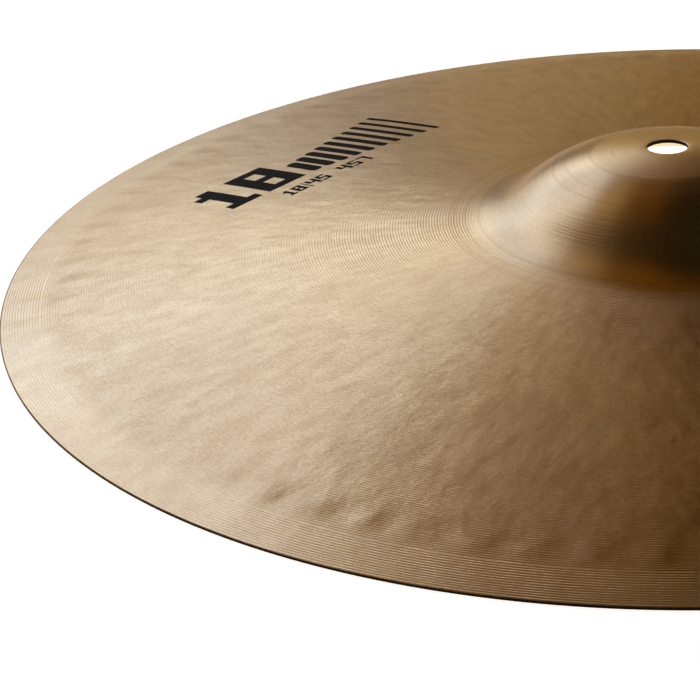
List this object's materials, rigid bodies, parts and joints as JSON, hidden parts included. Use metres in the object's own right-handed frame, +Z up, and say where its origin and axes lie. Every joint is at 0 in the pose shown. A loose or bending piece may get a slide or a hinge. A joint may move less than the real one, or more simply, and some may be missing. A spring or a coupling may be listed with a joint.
{
  "type": "crash cymbal",
  "caption": "Thin round crash cymbal of lathed and hammered bronze, with a raised bell, a centre hole for a stand's rod and a bow that falls to a thin edge.",
  "frame": {"origin": "middle of the circle on which the edge rests, level with the lowest point of the edge", "axes": "+Z up along the axis of the disc, out through the top of the bell; +X and +Y are any two square directions in the plane of the edge"},
  "size_m": [0.4572, 0.4572, 0.0399],
  "materials": {
    "bronze": "lathed in fine rings, hammered, satin",
    "ink": "matte screen-printed ink"
  },
  "bodies": {
    "root": {"cymbal": "bronze"}
  },
  "joints": []
}
